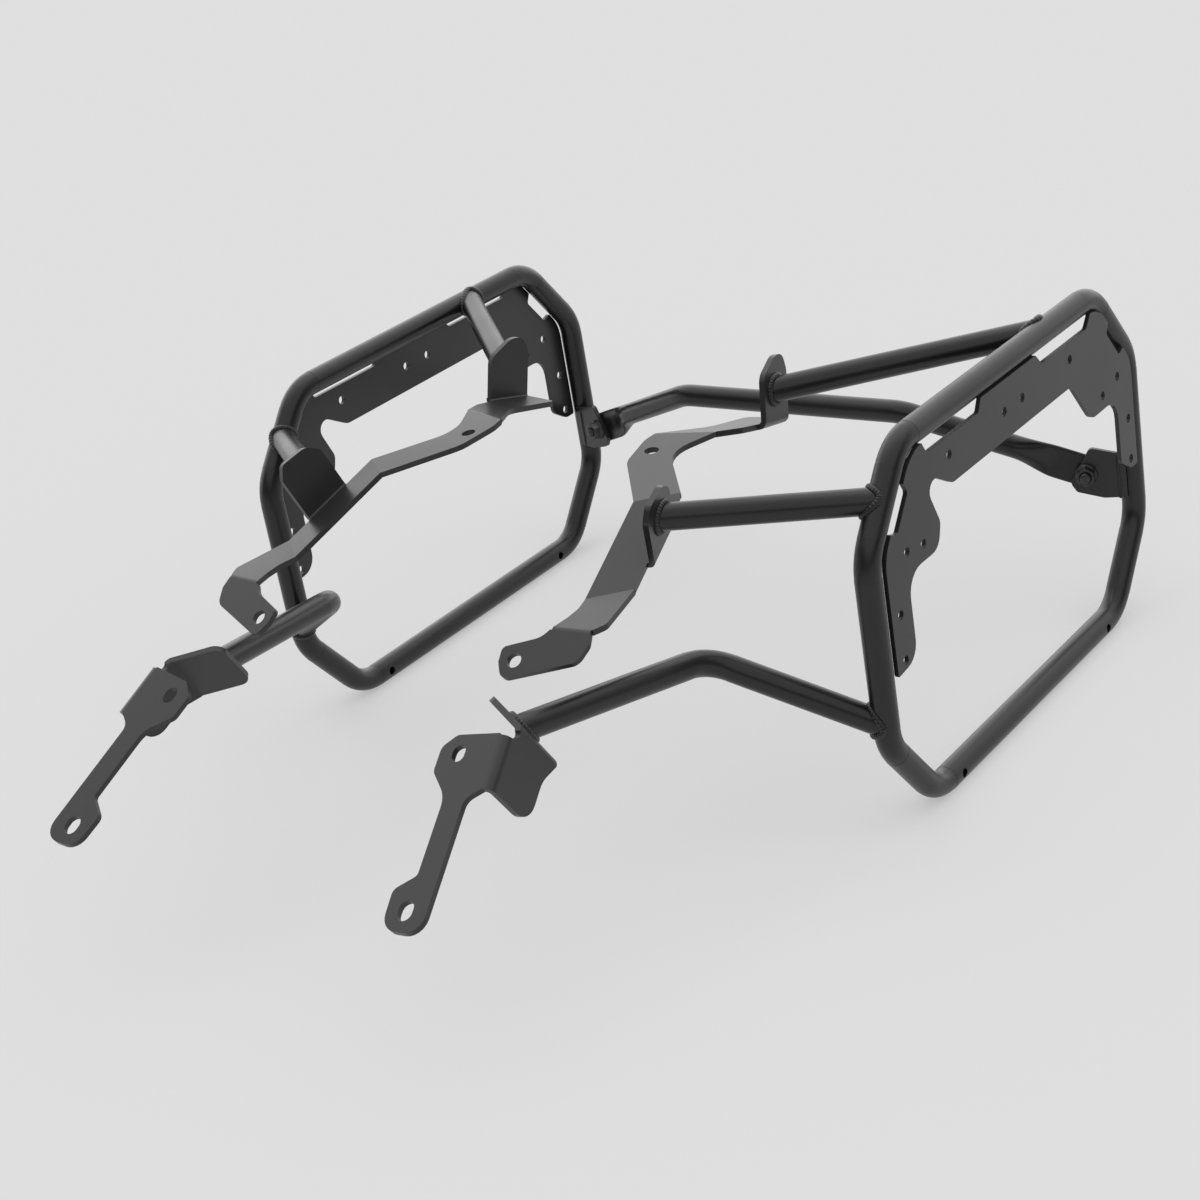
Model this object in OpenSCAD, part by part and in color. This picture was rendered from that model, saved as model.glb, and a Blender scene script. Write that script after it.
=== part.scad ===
/* [Tubes] */
// Outside diameter of every tube
tube_d = 18; // [16:0.5:20]
// Wall of every tube
tube_wall = 2; // [1.5:0.25:3]
// Bend radius at the centre of a tube
bend_r = 36; // [32:1:40]
// Width and height of a weld bead
bead = 2.4; // [1.5:0.1:3]

/* [Loops] */
// Distance between the centre planes of the two loops
loop_span = 517; // [490:1:545]
// Length of a loop between the centres of its front and rear tubes
loop_l = 388; // [376:1:400]
// Height of a loop between the centres of its top and bottom tubes
loop_h = 251; // [235:1:270]
// Length taken by each cut corner
cut_l = 50; // [46:1:54]
// Height taken by each cut corner
cut_h = 60; // [56:1:64]
// Diameter of the bolt holes through the bottom tube
foot_hole_d = 6.5; // [5:0.1:8.5]
// Distance of the bolt holes from the ends of the bottom tube
foot_hole_in = 27.5; // [22:0.5:60]

/* [Adapter plates] */
// Thickness of an adapter plate
plate_t = 2.5; // [2:0.1:3]
// Distance of its inner face from the centre plane of the loop
plate_seat = 5.8; // [5:0.1:6.5]
// Distance of the edge from the tube's centre where the plate is cut back
window_in = 14; // [12:0.5:16]
// Height of the top strip below the centre of the top tube
strip_h = 47.5; // [42:0.5:52]
// Diameter of the holes for the bag mounts
plate_hole_d = 6.6; // [5:0.1:8.5]

/* [Strap brackets] */
// Thickness of the folded sheet of both kinds of bracket
sheet_t = 4; // [3:0.25:5]
// Inner radius of the sheet's folds
fold_r = 1.5; // [1:0.25:3]
// Diameter of the bolt holes in a strap bracket
strap_hole_d = 10; // [8:0.25:11]

/* [Footpeg brackets] */
// Width of the upper slot
slot_high_w = 9; // [8:0.25:10]
// Width of the lower slot
slot_low_w = 10.5; // [9:0.25:11.5]
// Length of a slot beyond its width
slot_run = 2.5; // [1:0.25:4]
// Distance between the two slots
slot_gap = 103.5; // [100:0.5:107]

/* [Cross brace] */
// Half length of the straight middle of the brace
brace_mid = 101; // [92:1:110]
// Thickness of the flattened ends
flat_t = 4; // [3:0.5:5]
// Width of the flattened ends
flat_w = 26; // [22:0.5:30]
// Thread size of the brace bolts
bolt_d = 8; // [6:1:8]
// Distance of a tab's rear face in front of the centre of the rear tube
tab_seat = 6; // [5:0.25:7]

/* [Hidden] */

// Points are in the frame of the left loop: x outboard from the middle of the
// motorbike, y to the rear from the front end of the top tube, z up from its centre
middle_y = -26.47;
ground_z = loop_h + tube_d / 2;

$fn = 64;
far = 400;
powder = "#1c1c1e";
zinc = "#8d9094";
tube_r = tube_d / 2;
bore_r = tube_r - tube_wall;
loop_x = loop_span / 2;
front_y = -cut_l;
rear_y = loop_l - cut_l;
top_l = loop_l - 2 * cut_l;
cut_run = norm([cut_l, cut_h]);
corner_arc_steps = 6;
// Clearance of a coped tube end, and of a bead, over the tube that it meets
cope_fit = 0.3;
bead_fit = 0.05;
thread_fit = 0.05;
bolt_fit = 0.25;
// A fold or bend is drawn this much thinner than its straights, which lap into it
seam = 0.02;
lap = 0.1;
tube_seam = 0.12;
tube_lap = 0.3;

// Corners of a loop's centre line as (y, z), from the top front one to the rear
loop_corners = [
    [0, 0], [top_l, 0], [rear_y, -cut_h], [rear_y, cut_h - loop_h],
    [top_l, -loop_h], [0, -loop_h], [front_y, cut_h - loop_h], [front_y, -cut_h]
];
loop_path = [for (c = loop_corners) [loop_x, c[0], c[1]]];

// Height of the sheet's top face at the origin, its rise outboard, its rise rearward
tail_face = [-14.15, 0.063, -0.239];
seat_face = [-9.2, -0.044, 0.0835];
ramp_face = [31.5, -0.237, 0.322];
shelf_face = [-42.2, -0.0065, 0.048];
nose_face = [108.4, -0.07, 0.754];

// Two plan points of the tail's outboard edge, and where the front tab starts
// on the ramp's outboard edge, as a share of that edge from its lower end
rear_tab_plan = [[118, 58], [112.5, 96]];
front_tab_at = 0.26;
rear_tab_l = 38.5;
front_tab_l = 38;
standoff_rear_at = [19.5, 21.5];
standoff_front_at = [20.5, 22];

// Frame of the footpeg bracket at its upper slot: outboard, up the arm, out of the face
peg_o = [121.8, -301.1, -89.3];
peg_ex = unit([0.982, 0.117, 0.150]);
peg_n = unit(cross(peg_ex, [-0.178, 0.8435, 0.507]));
peg_ey = cross(peg_n, peg_ex);
peg_fold_r = 2.5;
// Outboard face of the side flange, and the corner and turn of the tube flange
side_face = 32;
side_bottom = -43;
tube_flange_u = 23.1;
tube_flange_turn = 51.8;
tube_flange_l = 40.6;
tube_flange_top = -9;
tube_flange_bottom = -51.5;

// Ends of the stand-offs on the loop, and the points of the lower tube
rear_standoff_in = 73.5;
front_standoff_share = 0.49;
lower_tube_up = 15;
lower_corner_z = cut_h - loop_h;
rear_standoff_end = [loop_x, top_l - rear_standoff_in, 0];
front_standoff_end = [loop_x, front_y * front_standoff_share, -cut_h * front_standoff_share];
lower_tube_bend = [163.2, -102.5, -117];
lower_tube_end = [loop_x, front_y, lower_corner_z + lower_tube_up];

// Bolt point of the cross brace from the rear tube and its lower corner, and how
// much further forward and higher the brace's middle is
brace_bolt_in = 28.5;
brace_bolt_front = 17.7;
brace_bolt_up = 38.2;
brace_rise = 56.8;
brace_forward = 43.8;
brace_bolt = [loop_x - brace_bolt_in, rear_y - brace_bolt_front, lower_corner_z + brace_bolt_up];
brace_mid_y = brace_bolt[1] - brace_forward;
brace_mid_z = brace_bolt[2] + brace_rise;
flat_reach = 12;
flat_run = 23;
flat_taper = 23;
tab_short = 3;
nut_af = 13;
nut_h = 8;
flange_d = 17;
flange_t = 1.4;
head_h = 5.3;
thread_out = 2.5;

function unit(v) = v / norm(v);

// Turn between two stretches of a path, and the length of tube that a bend takes there
function turn_at(a, b, c) = acos(unit(b - a) * unit(c - b));
function bend_run(a, b, c, r) = r * tan(turn_at(a, b, c) / 2);

// Rounds one corner b of an outline, whose third value is the corner's radius
function arc_at(a, b, c) =
    let (u = unit([a[0] - b[0], a[1] - b[1]]))
    let (v = unit([c[0] - b[0], c[1] - b[1]]))
    let (half = acos(u * v) / 2)
    let (mid = unit(u + v) * b[2] / sin(half))
    let (start = u * b[2] / tan(half) - mid)
    let (step = (u[0] * v[1] - u[1] * v[0] > 0 ? -1 : 1) * (180 - 2 * half) / corner_arc_steps)
    let (from = atan2(start[1], start[0]))
    [for (i = [0 : corner_arc_steps])
        [b[0], b[1]] + mid + b[2] * [cos(from + step * i), sin(from + step * i)]];

// Outline of points (x, y, corner radius) with its corners rounded
function rounded(pts) =
    let (n = len(pts))
    [for (i = [0 : n - 1])
        let (p = pts[i])
        each (p[2] > 0 ? arc_at(pts[(i + n - 1) % n], p, pts[(i + 1) % n]) : [[p[0], p[1]]])];

// Point of the loop's plane at distance s from corner a towards corner b, moved inwards by e
function beside(a, b, s, e) = a + unit(b - a) * s + [unit(b - a)[1], -unit(b - a)[0]] * e;

// Corner b of the loop's centre line moved inwards by e, with radius r
function inset(a, b, c, e, r) =
    let (half = turn_at(a, b, c) / 2)
    let (inward = unit(unit(a - b) + unit(c - b)))
    concat(b + inward * e / cos(half), [r]);

// Four points of a stretch from s0 to s1 where the plate's edge is cut back
window_foot_r = 1;
window_r = 3;
function window(a, b, s0, s1, slope) = [
    concat(beside(a, b, s0, land_in), [window_foot_r]),
    concat(beside(a, b, s0 + slope, window_in), [window_r]),
    concat(beside(a, b, s1 - slope, window_in), [window_r]),
    concat(beside(a, b, s1, land_in), [window_foot_r])
];

// The plate's edge meets the tube where its inner face does
land_in = sqrt(pow(tube_r, 2) - pow(plate_seat, 2)) + bead_fit;

// Height of a plane at a plan point, its upward normal, and where two planes meet
function on_face(p, q) = [q[0], q[1], p[0] + p[1] * q[0] + p[2] * q[1]];
function normal(p) = unit([-p[1], -p[2], 1]);
function meet_at(p, q, x) = on_face(p, [x, (q[0] - p[0] + (q[1] - p[1]) * x) / (p[2] - q[2])]);
function along_x(p) = unit([1, 0, p[1]]);
function flat_xy(p, q) =
    let (d = on_face(p, q) - [0, 0, p[0]])
    [d * along_x(p), d * cross(normal(p), along_x(p))];

// Fold lines of the strap bracket, inboard end first
fold_tail = [meet_at(tail_face, seat_face, 67.5), meet_at(tail_face, seat_face, 108.5)];
fold_seat = [meet_at(seat_face, ramp_face, 109.3), meet_at(seat_face, ramp_face, 133.5)];
fold_ramp = [meet_at(ramp_face, shelf_face, 124), meet_at(ramp_face, shelf_face, 148)];
fold_shelf = [meet_at(shelf_face, nose_face, 125.7), meet_at(shelf_face, nose_face, 152.6)];

// Frame of an upturned tab: origin on the panel's edge, run of the edge, panel normal
function tab_frame(face, o, to) =
    let (run = unit(to - o))
    [o, run, normal(face), cross(run, normal(face))];
rear_tab = tab_frame(
    tail_face, on_face(tail_face, rear_tab_plan[0]), on_face(tail_face, rear_tab_plan[1]));
front_tab = tab_frame(
    ramp_face, fold_ramp[1] + (fold_seat[1] - fold_ramp[1]) * front_tab_at, fold_seat[1]);
function tab_point(f, at) = f[0] + f[1] * at[0] + f[2] * at[1] + f[3] * (fold_r + sheet_t);
rear_standoff_start = tab_point(rear_tab, standoff_rear_at);
front_standoff_start = tab_point(front_tab, standoff_front_at);

// Frame of the flange that the lower tube is welded to: run, outward normal, corner point
flange_run = peg_ey * cos(tube_flange_turn) - peg_ex * sin(tube_flange_turn);
flange_n = peg_ey * sin(tube_flange_turn) + peg_ex * cos(tube_flange_turn);
flange_corner = peg_o + peg_ey * tube_flange_u + peg_ex * side_face;
lower_tube_start =
    flange_corner + flange_run * tube_flange_l / 2 + peg_n * (tube_flange_top + tube_flange_bottom) / 2;

// Outer stretch of the brace and the upright plane of its tab
brace_knee = [brace_mid, brace_mid_y, brace_mid_z];
brace_run = unit(brace_bolt - brace_knee);
tab_ex = unit([brace_run[0], brace_run[1], 0]);
tab_n = cross(tab_ex, [0, 0, 1]);
brace_ey = cross(tab_n, brace_run);
loop_rear = [loop_x, rear_y, brace_bolt[2]];
tab_o = brace_bolt + tab_n * ((loop_rear - brace_bolt) * tab_n + tab_seat);
tab_l = (loop_rear - brace_bolt) * tab_ex;

// Puts a child at point o with its x and y axes along ex and ey
module place(o, ex, ey) {
    ez = cross(ex, ey);
    multmatrix([
        [ex[0], ey[0], ez[0], o[0]],
        [ex[1], ey[1], ez[1], o[1]],
        [ex[2], ey[2], ez[2], o[2]],
        [0, 0, 0, 1]
    ])
        children();
}

module left() {
    translate([0, -middle_y, ground_z])
        children();
}

module right() {
    mirror([1, 0, 0])
        left()
            children();
}

// Round bar from a to b
module rod(a, b, r) {
    d = unit(b - a);
    side = abs(d[2]) > 0.999 ? [1, 0, 0] : unit(cross([0, 0, 1], d));
    place(a, side, cross(d, side))
        cylinder(r = r, h = norm(b - a));
}

// Half space behind the plane through o with outward normal n
module behind(o, n) {
    side = unit(cross([0, 0, 1], n));
    place(o, side, cross(n, side))
        translate([-far / 2, -far / 2, -far])
            cube(far);
}

// Round bar bent at corner b of the path a, b, c
module elbow(a, b, c, r) {
    d = unit(b - a);
    axis = unit(cross(d, unit(c - b)));
    inward = cross(axis, d);
    place(b - d * bend_run(a, b, c, bend_r) + inward * bend_r, -inward, d)
        rotate_extrude(angle = turn_at(a, b, c))
            translate([bend_r, 0])
                circle(r);
}

function loop_point(i) = loop_path[(i + len(loop_path)) % len(loop_path)];
function loop_run(i) = bend_run(loop_point(i - 1), loop_point(i), loop_point(i + 1), bend_r) - tube_lap;

// Straight of the loop from corner i to the next, and the bend at corner i
module stretch(i, r) {
    d = unit(loop_point(i + 1) - loop_point(i));
    rod(loop_point(i) + d * loop_run(i), loop_point(i + 1) - d * loop_run(i + 1), r);
}

module loop_bend(i, r) {
    elbow(loop_point(i - 1), loop_point(i), loop_point(i + 1), r);
}

// Closed ring of bar along the loop's corners, with the radius of its bends
module ring(r, r_bend) {
    for (i = [0 : len(loop_path) - 1]) {
        stretch(i, r);
        loop_bend(i, r_bend);
    }
}

// Bar from a to c, bent at b, with the radius of its bend
module bent_bar(a, b, c, r, r_bend) {
    run = bend_run(a, b, c, bend_r) - tube_lap;
    rod(a, b + unit(a - b) * run, r);
    elbow(a, b, c, r_bend);
    rod(b + unit(c - b) * run, c, r);
}

// One loop: bent tube closed on itself, with two bolt holes through its foot
module loop_tube() {
    color(powder)
        difference() {
            ring(tube_r, tube_r - tube_seam);
            ring(bore_r, bore_r + tube_seam);
            for (y = [foot_hole_in, top_l - foot_hole_in])
                translate([loop_x - tube_d, y, -loop_h])
                    rotate([0, 90, 0])
                        cylinder(d = foot_hole_d, h = 2 * tube_d);
        }
}

// Corners that the plate's edge follows round the loop
plate_r = bend_r - land_in;
c_tf = loop_corners[0];
c_tr = loop_corners[1];
c_rt = loop_corners[2];
c_rb = loop_corners[3];
c_fb = loop_corners[6];
c_ft = loop_corners[7];
plate_foot = lower_corner_z + 46.5;
foot_step = 10;
strip_in = 35;
rear_foot_in = 19;
front_leg_in = 33.7;
waist = -83;
window_ends = [18, 100];
rear_window_in = [106, 18];
cut_window_in = 24;
cut_window_l = 34;
plate_outline = concat(
    [inset(c_ft, c_tf, c_tr, land_in, plate_r)],
    window(c_tf, c_tr, window_ends[0], window_ends[1], 5),
    window(c_tf, c_tr, top_l - rear_window_in[0], top_l - rear_window_in[1], 8),
    [inset(c_tf, c_tr, c_rt, land_in, plate_r)],
    window(c_tr, c_rt, cut_window_in, cut_window_in + cut_window_l, 3),
    [inset(c_tr, c_rt, c_rb, land_in, plate_r)],
    [[rear_y - land_in, plate_foot, 2], [rear_y - rear_foot_in, plate_foot, 8]],
    [[rear_y - strip_in, plate_foot + foot_step, 8], [rear_y - strip_in, waist, 16]],
    [[top_l - 28.5, waist, 14], [top_l - 56.5, -strip_h, 10]],
    [[52, -strip_h, 12], [12, -24.8, 7.7], [31, -66.2, 8], [25.5, waist, 12]],
    [[front_y + front_leg_in, waist, 17], [front_y + front_leg_in, plate_foot + 3, 14]],
    [[front_y + land_in, plate_foot, 2]],
    [inset(c_fb, c_ft, c_tf, land_in, plate_r)],
    window(c_ft, c_tf, cut_run - cut_window_in - cut_window_l, cut_run - cut_window_in, 3)
);

// Holes of the top strip, and those of each leg, above its foot or below the top tube
leg_hole_in = [18.5, 19];
leg_hole_up = [7.5, 39.5];
strip_hole_z = strip_h - 20;
plate_holes = [
    [51, -strip_hole_z], [130.5, -strip_hole_z - 0.5],
    [top_l - 130.5, -strip_hole_z - 0.5], [top_l - 55.5, -strip_hole_z],
    [rear_y - 32, -67], [rear_y - 58, -72.5],
    [rear_y - leg_hole_in[0], plate_foot + leg_hole_up[1]],
    [rear_y - leg_hole_in[0], plate_foot + leg_hole_up[0]],
    [front_y + 56.5, -71.5], [front_y + 35, -68],
    [front_y + leg_hole_in[1], plate_foot + leg_hole_up[1]],
    [front_y + leg_hole_in[1], plate_foot + leg_hole_up[0]]
];

// Sheet plate inside the top of a loop, set outboard of the tube's centre plane
module adapter_plate() {
    color(powder)
        place([loop_x + plate_seat, 0, 0], [0, 1, 0], [0, 0, 1])
            linear_extrude(plate_t)
                difference() {
                    polygon(rounded(plate_outline));
                    for (p = plate_holes)
                        translate(p)
                            circle(d = plate_hole_d);
                }
}

// Straight tube from a bracket face through a with normal n to b on straight i of the loop
module standoff(a, b, n, i) {
    d = unit(b - a);
    color(powder)
        difference() {
            rod(a - d * tube_d, b, tube_r);
            rod(a - d * 2 * tube_d, b + d * tube_d, bore_r);
            behind(a, n);
            stretch(i, tube_r + cope_fit);
        }
}

module rear_standoff() {
    standoff(rear_standoff_start, rear_standoff_end, rear_tab[3], 0);
}

module front_standoff() {
    standoff(front_standoff_start, front_standoff_end, front_tab[3], 7);
}

// Bent tube from the footpeg bracket to the front of the loop
module lower_tube() {
    back = unit(lower_tube_start - lower_tube_bend) * tube_d;
    on = unit(lower_tube_end - lower_tube_bend) * tube_d;
    color(powder)
        difference() {
            bent_bar(
                lower_tube_start + back, lower_tube_bend, lower_tube_end,
                tube_r, tube_r - tube_seam);
            bent_bar(
                lower_tube_start + 2 * back, lower_tube_bend, lower_tube_end + on,
                bore_r, bore_r + tube_seam);
            behind(lower_tube_start, flange_n);
            stretch(6, tube_r + cope_fit);
            loop_bend(6, tube_r + cope_fit - tube_seam);
        }
}

// Bead where a tube from a ends at b on straight i of the loop
module loop_weld(a, b, i) {
    d = unit(a - b);
    color(powder)
        difference() {
            intersection() {
                rod(b + d * bead_fit, b + d * 3 * tube_d, tube_r + bead);
                stretch(i, tube_r + bead * 0.9);
            }
            rod(b - d * tube_d, b + d * 4 * tube_d, tube_r);
            stretch(i, tube_r + bead_fit);
        }
}

// Bead where a tube from a towards b stands on a face with normal n
module face_weld(a, b, n) {
    d = unit(b - a);
    color(powder)
        difference() {
            rod(a - d * 2 * tube_d, a + d * 2 * tube_d, tube_r + bead);
            rod(a - d * 3 * tube_d, a + d * 3 * tube_d, tube_r);
            behind(a, n);
            behind(a + n * bead, -n);
        }
}

// Flat panel under the face p, with its plan outline cut back along its folds
module panel(p, pts, cuts) {
    place([0, 0, p[0]], along_x(p), cross(normal(p), along_x(p)))
        translate([0, 0, -sheet_t])
            linear_extrude(sheet_t)
                difference() {
                    polygon(rounded([for (q = pts) concat(flat_xy(p, q), [q[2]])]));
                    for (c = cuts)
                        right_of(flat_xy(p, c[0]), flat_xy(p, c[1]), c[2] - lap);
                }
}

// Half plane on the right of the line from a to b, and s further to the left
module right_of(a, b, s) {
    translate(a)
        rotate(atan2(b[1] - a[1], b[0] - a[0]))
            translate([-far, s - far])
                square([2 * far, far]);
}

// Half of the turn of a fold between faces p and q, and what a fold takes off each panel
function fold_half(p, q) = acos(normal(p) * normal(q)) / 2;
function fold_reach(side) = side > 0 ? fold_r + sheet_t : fold_r;
function fold_run(p, q, side) = fold_reach(side) * tan(fold_half(p, q));

// Cuts of the rear and front panels at a fold line; side is 1 for a ridge, -1 for a valley
function cut_rear(line, p, q, side) = [line[0], line[1], fold_run(p, q, side)];
function cut_front(line, p, q, side) = [line[1], line[0], fold_run(p, q, side)];

// Sheet bent through an angle at inner radius r, for a length along the fold
module fold_strip(angle, r, run) {
    rotate_extrude(angle = angle)
        translate([r + seam, 0])
            square([sheet_t - 2 * seam, run]);
}

// Bent strip of sheet along a fold line
module fold(line, p, q, side) {
    axis = unit(cross(normal(p), normal(q)));
    start = (line[1] - line[0]) * axis > 0 ? line[0] : line[1];
    centre = start - unit(normal(p) + normal(q)) * side * fold_reach(side) / cos(fold_half(p, q));
    place(centre, normal(p) * side, cross(axis, normal(p)) * side)
        fold_strip(2 * fold_half(p, q), fold_r, norm(line[1] - line[0]));
}

// Tab turned up at right angles from a panel's edge; outline is (run, height, radius)
module upturned_tab(f, run, outline) {
    place(f[0] + f[2] * fold_r + f[1] * run, -f[2], f[3])
        fold_strip(90, fold_r, run);
    place(f[0] + f[3] * fold_r, f[1], f[2])
        linear_extrude(sheet_t)
            polygon(rounded(outline));
}

function plan(p, r = 0) = [p[0], p[1], r];
tail_outline = [
    plan(fold_tail[0]), [88.5, 42, 30], [85.5, 91, 4],
    plan(rear_tab[0] + rear_tab[1] * rear_tab_l + rear_tab[3] * lap),
    plan(rear_tab[0] + rear_tab[3] * lap), [116.5, 40, 10], plan(fold_tail[1])
];
seat_outline = [
    plan(fold_seat[0]), [72, -35, 25], [66, -4, 25], plan(fold_tail[0]),
    plan(fold_tail[1]), [93, -14, 26], plan(fold_seat[1])
];
ramp_outline = [
    plan(fold_ramp[0]), plan(fold_seat[0]), plan(fold_seat[1] + front_tab[3] * lap),
    plan(fold_ramp[1] + front_tab[3] * lap)
];
shelf_outline = [
    plan(fold_shelf[0]), [127.5, -189, 14], [127.5, -177, 20], plan(fold_ramp[0]),
    plan(fold_ramp[1]), [157.3, -189, 8], plan(fold_shelf[1])
];
nose_outline = [
    plan(fold_shelf[0]), plan(fold_shelf[1]), [155, -207, 6], [152, -217, 9],
    [104.5, -234.5, 6], [98, -226, 4], [96.5, -218, 4], [120.5, -208.5, 14]
];
fold_foot = fold_r - lap;
rear_tab_outline = [
    [1, fold_foot, 0], [1, 32, 10], [21, 45, 14], [33, 45, 9],
    [rear_tab_l, 34, 8], [rear_tab_l, fold_foot, 0]
];
front_tab_outline = [
    [0, fold_foot, 0], [0, 34, 6], [7, 43, 5], [29, 41, 9],
    [front_tab_l, 32, 8], [front_tab_l, fold_foot, 0]
];
seat_hole = [79.8, -16];
nose_hole = [108.5, -223.3];

// Bore square to a face at a plan point
module face_hole(p, q, d) {
    place(on_face(p, q), along_x(p), cross(normal(p), along_x(p)))
        cylinder(d = d, h = 4 * sheet_t, center = true);
}

// Folded sheet bolted to the motorbike's tail and seat rail, with two upturned tabs
module strap_bracket() {
    color(powder)
        difference() {
            union() {
                panel(tail_face, tail_outline, [cut_rear(fold_tail, tail_face, seat_face, 1)]);
                fold(fold_tail, tail_face, seat_face, 1);
                panel(seat_face, seat_outline, [
                    cut_front(fold_tail, tail_face, seat_face, 1),
                    cut_rear(fold_seat, seat_face, ramp_face, 1)
                ]);
                fold(fold_seat, seat_face, ramp_face, 1);
                panel(ramp_face, ramp_outline, [
                    cut_front(fold_seat, seat_face, ramp_face, 1),
                    cut_rear(fold_ramp, ramp_face, shelf_face, -1)
                ]);
                fold(fold_ramp, ramp_face, shelf_face, -1);
                panel(shelf_face, shelf_outline, [
                    cut_front(fold_ramp, ramp_face, shelf_face, -1),
                    cut_rear(fold_shelf, shelf_face, nose_face, 1)
                ]);
                fold(fold_shelf, shelf_face, nose_face, 1);
                panel(nose_face, nose_outline, [cut_front(fold_shelf, shelf_face, nose_face, 1)]);
                upturned_tab(rear_tab, rear_tab_l, rear_tab_outline);
                upturned_tab(front_tab, front_tab_l, front_tab_outline);
            }
            face_hole(seat_face, seat_hole, strap_hole_d);
            face_hole(nose_face, nose_hole, strap_hole_d);
        }
}

// Arm of the footpeg bracket as (outboard, up, radius) from its upper slot
peg_reach = peg_fold_r + sheet_t;
side_tangent = side_face - peg_reach;
side_lap = side_tangent + lap;
side_top = lap - peg_reach;
side_front = -24.5;
side_rear = 12;
turn_run = peg_reach * tan(tube_flange_turn / 2);
arm_outline = [
    [side_lap, 13, 0], [-5, 13, 6], [-14.3, 5, 7], [-14.3, -12, 7],
    [0, -29, 20], [0, -81, 4], [-14.3, -90, 6], [-13.5, -115.5, 12], [15.5, -119, 11],
    [15.3, -31, 8], [side_lap, side_front, 1]
];
side_end = tube_flange_u - turn_run + lap;
side_outline = [
    [side_front, side_top, 0], [side_rear, side_top, 0], [17.4, -12.5, 3],
    [side_end, tube_flange_top, 0],
    [side_end, tube_flange_bottom, 0], [5, side_bottom, 20], [side_front, side_bottom, 13]
];
tube_flange_outline = [
    [turn_run - lap, tube_flange_top, 0], [tube_flange_l, tube_flange_top, 8],
    [tube_flange_l, tube_flange_bottom, 8], [turn_run - lap, tube_flange_bottom, 0]
];

module slot(w) {
    for (s = [-1, 1])
        translate([0, s * slot_run / 2])
            circle(d = w);
    square([w, slot_run], center = true);
}

// Folded sheet that bolts behind the passenger footpeg: arm, side flange, tube flange
module footpeg_bracket() {
    color(powder) {
        place(peg_o - peg_n * sheet_t, peg_ex, peg_ey)
            linear_extrude(sheet_t)
                difference() {
                    polygon(rounded(arm_outline));
                    slot(slot_high_w);
                    translate([0, -slot_gap])
                        slot(slot_low_w);
                }
        place(
            peg_o + peg_ex * side_tangent - peg_n * peg_reach + peg_ey * side_front,
            peg_n, peg_ex)
            fold_strip(90, peg_fold_r, side_rear - side_front);
        place(peg_o + peg_ex * (side_face - sheet_t), peg_ey, peg_n)
            linear_extrude(sheet_t)
                polygon(rounded(side_outline));
        place(
            flange_corner - peg_ey * turn_run - peg_ex * peg_reach + peg_n * tube_flange_bottom,
            peg_ex, peg_ey)
            fold_strip(tube_flange_turn, peg_fold_r, tube_flange_top - tube_flange_bottom);
        place(flange_corner - flange_n * sheet_t, flange_run, peg_n)
            linear_extrude(sheet_t)
                polygon(rounded(tube_flange_outline));
    }
}

// Outline of the brace tab as (outboard, up, radius) from its bolt
tab_end = tab_l - tab_short;
tab_high = 14.5;
tab_low = -20;
tab_outline = [
    [tab_end, tab_high, 0], [3.5, 21, 4], [-12.5, -7, 5], [-8, -14.5, 4],
    [12, tab_low, 8], [tab_end, tab_low, 0]
];

// Plate welded to the front of the rear tube, which the brace is bolted to
module brace_tab() {
    color(powder)
        difference() {
            place(tab_o, tab_ex, [0, 0, 1])
                linear_extrude(sheet_t)
                    difference() {
                        polygon(rounded(tab_outline));
                        circle(d = bolt_d + 2 * bolt_fit);
                    }
            stretch(2, tube_r + bead_fit);
        }
}

// Bead round the end of the brace tab
module brace_tab_weld() {
    color(powder)
        difference() {
            intersection() {
                place(tab_o, tab_ex, [0, 0, 1])
                    translate([tab_end - tube_r, tab_low - bead, -bead])
                        cube([tube_r + bead, tab_high - tab_low + 2 * bead, sheet_t + 2 * bead]);
                stretch(2, tube_r + bead);
            }
            place(tab_o, tab_ex, [0, 0, 1])
                linear_extrude(sheet_t)
                    polygon(rounded(tab_outline));
            stretch(2, tube_r + bead_fit);
        }
}

// Flange bolt with its head behind the brace
module brace_bolt() {
    color(zinc)
        place(tab_o - tab_n * flat_t, tab_ex, [0, 0, 1]) {
            translate([0, 0, -flange_t])
                cylinder(d = flange_d, h = flange_t);
            translate([0, 0, -flange_t - head_h])
                cylinder(d = nut_af / cos(30), h = head_h, $fn = 6);
            cylinder(d = bolt_d, h = flat_t + sheet_t + nut_h + thread_out);
        }
}

// Flange nut in front of the tab
module brace_nut() {
    color(zinc)
        place(tab_o + tab_n * sheet_t, tab_ex, [0, 0, 1])
            difference() {
                union() {
                    cylinder(d = flange_d, h = flange_t);
                    cylinder(d = nut_af / cos(30), h = nut_h, $fn = 6);
                }
                translate([0, 0, -nut_h])
                    cylinder(d = bolt_d + 2 * thread_fit, h = 3 * nut_h);
            }
}

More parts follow.
